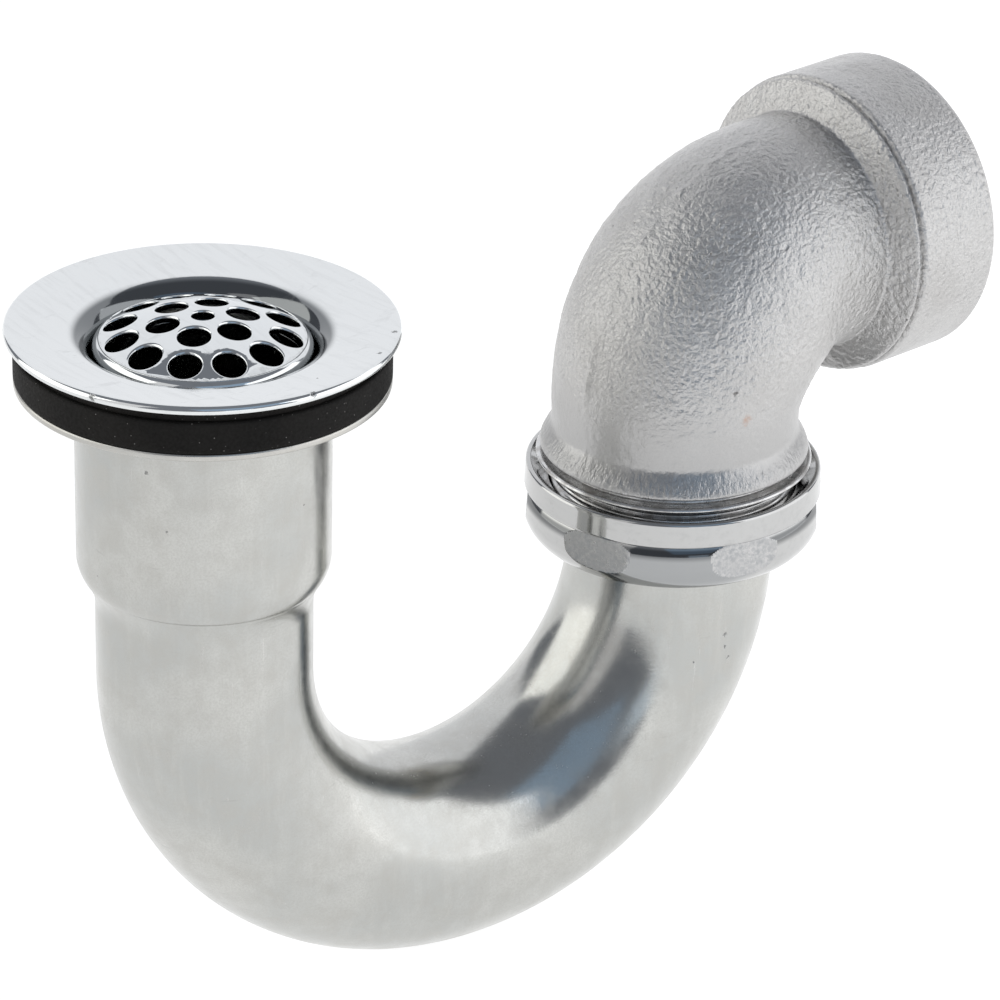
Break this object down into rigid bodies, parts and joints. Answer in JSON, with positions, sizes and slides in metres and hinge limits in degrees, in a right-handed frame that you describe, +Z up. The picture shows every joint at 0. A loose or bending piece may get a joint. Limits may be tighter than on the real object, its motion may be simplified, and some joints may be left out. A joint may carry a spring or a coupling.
{
  "type": "p trap",
  "caption": "Tubular p trap: a flanged, domed strainer inlet on a J bend, joined by a slip nut to a cast elbow with a threaded wall outlet.",
  "frame": {"origin": "centre of the elbow's open end, on the outlet's axis", "axes": "+X along the outlet axis, out of the elbow towards the wall; +Z up, along the trap's two legs"},
  "size_m": [0.185, 0.0769, 0.1497],
  "materials": {
    "cast_elbow": "rough as-cast, zinc plated",
    "polished_nut": "polished chrome plate on cast brass",
    "brass_ring": "stamped sheet brass",
    "washer_rubber": "matt moulded rubber",
    "satin_tube": "satin plated tube with fine scratches",
    "satin_collar": "satin plated ring, soldered on",
    "gasket_rubber": "matt black rubber with fine specks",
    "seal_rubber": "matt black rubber",
    "polished_flange": "polished chrome plate",
    "polished_grid": "polished chrome plate"
  },
  "bodies": {
    "elbow": {"wall_elbow": "cast_elbow"},
    "trap": {"trap_bend": "satin_tube", "inlet_collar": "satin_collar", "basin_gasket": "gasket_rubber", "slip_washer": "washer_rubber"},
    "nut_carrier": {"friction_ring": "brass_ring"},
    "nut": {"slip_nut": "polished_nut"},
    "strainer_carrier": {"flange_seal": "seal_rubber"},
    "strainer": {"strainer_flange": "polished_flange", "strainer_grid": "polished_grid"}
  },
  "joints": [
    {"name": "trap_swivel", "type": "hinge", "parent": "elbow", "child": "trap", "pos_m": [-0.053, 0, 0], "axis": [0, 0, 1], "range_deg": [-81.4, 98.6]},
    {"name": "nut_travel", "type": "slide", "parent": "elbow", "child": "nut_carrier", "axis": [0, 0, -1], "range_m": [0, 0.00661]},
    {"name": "nut_turn", "type": "hinge", "parent": "nut_carrier", "child": "nut", "pos_m": [-0.053, 0, 0], "axis": [0, 0, -1], "range_deg": [0, 1080]},
    {"name": "strainer_lift", "type": "slide", "parent": "trap", "child": "strainer_carrier", "axis": [0, 0, 1], "range_m": [0, 0.00841]},
    {"name": "strainer_turn", "type": "hinge", "parent": "strainer_carrier", "child": "strainer", "pos_m": [-0.15108, 0.01483, 0], "axis": [0, 0, 1], "range_deg": [0, 2160]}
  ],
  "couplings": [
    {"joint": "nut_travel", "follows": "nut_turn", "m_per_rad": 0.00035014},
    {"joint": "strainer_lift", "follows": "strainer_turn", "m_per_rad": 0.00022282}
  ]
}
